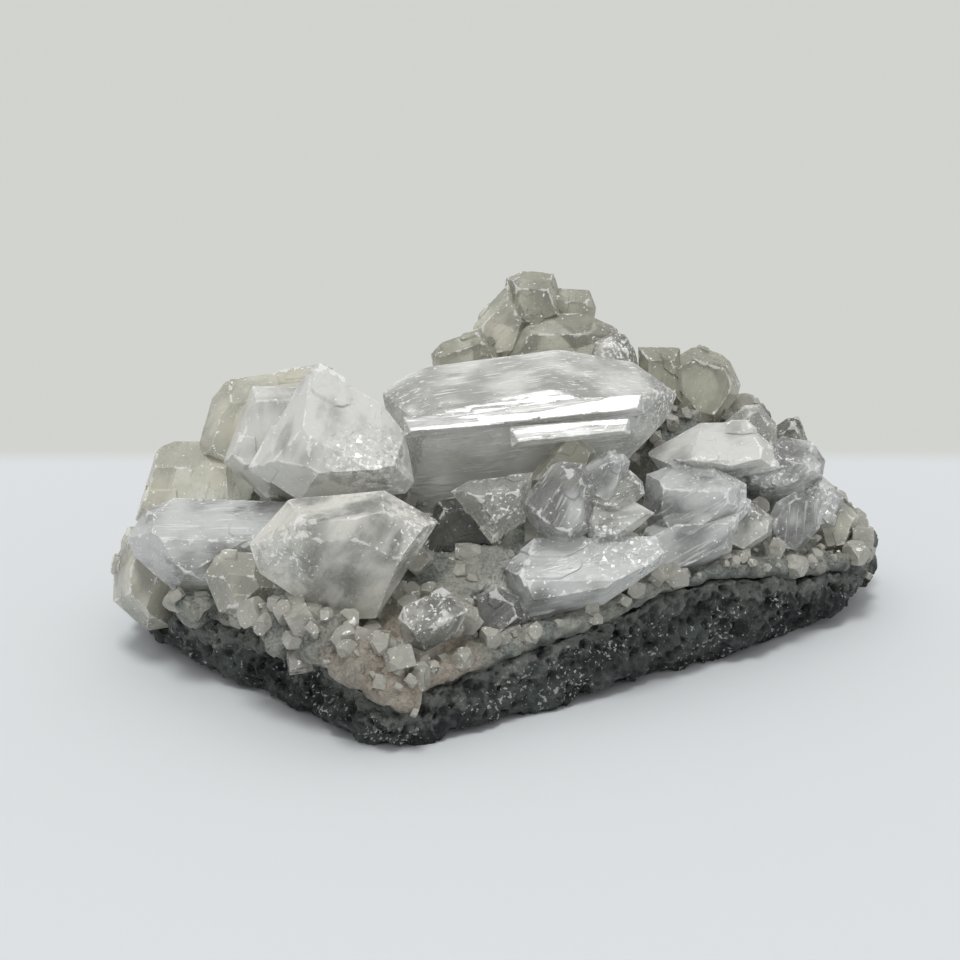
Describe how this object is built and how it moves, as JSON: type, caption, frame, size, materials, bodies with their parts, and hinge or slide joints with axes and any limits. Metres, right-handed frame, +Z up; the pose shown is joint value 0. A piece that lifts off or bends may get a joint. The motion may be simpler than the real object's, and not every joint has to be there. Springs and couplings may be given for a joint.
{
  "type": "crystal cluster on basalt matrix",
  "caption": "Mineral specimen: glassy and milky blocky crystals grown together on a chalky crust over a slab of dark vesicular basalt, resting on the slab's flat underside.",
  "frame": {"origin": "bottom centre of the bounding box, on the surface that the slab rests on", "axes": "+Z up, +X to the right of whoever looks at the show side, along the longest side, +Y away from them"},
  "size_m": [0.1258, 0.0886, 0.0544],
  "materials": {
    "basalt": "broken dark grey basalt with small vesicles",
    "crust": "matte chalky greenish-grey and tan crust with sparkling grains",
    "striated_crystal": "glassy crystal with fine growth lines",
    "milky_crystal": "frosted, milky and only dimly see-through",
    "grey_crystal": "satin grey translucent crystal",
    "clear_crystal": "clear to cloudy glassy crystal"
  },
  "bodies": {
    "root": {"basalt_matrix": "basalt", "crystal_crust": "crust", "striated_barrel_crystal": "striated_crystal", "milky_block_crystals": "milky_crystal", "tilted_cube_crystal": "clear_crystal", "left_prism_crystals": "grey_crystal", "centre_crystals": "clear_crystal", "lower_milky_crystals": "milky_crystal", "front_cube_crystal": "clear_crystal", "right_spray_crystals": "grey_crystal", "right_end_crystals": "grey_crystal", "right_knob_crystal": "clear_crystal", "crest_crystals": "grey_crystal", "back_right_crystals": "clear_crystal"}
  },
  "joints": []
}
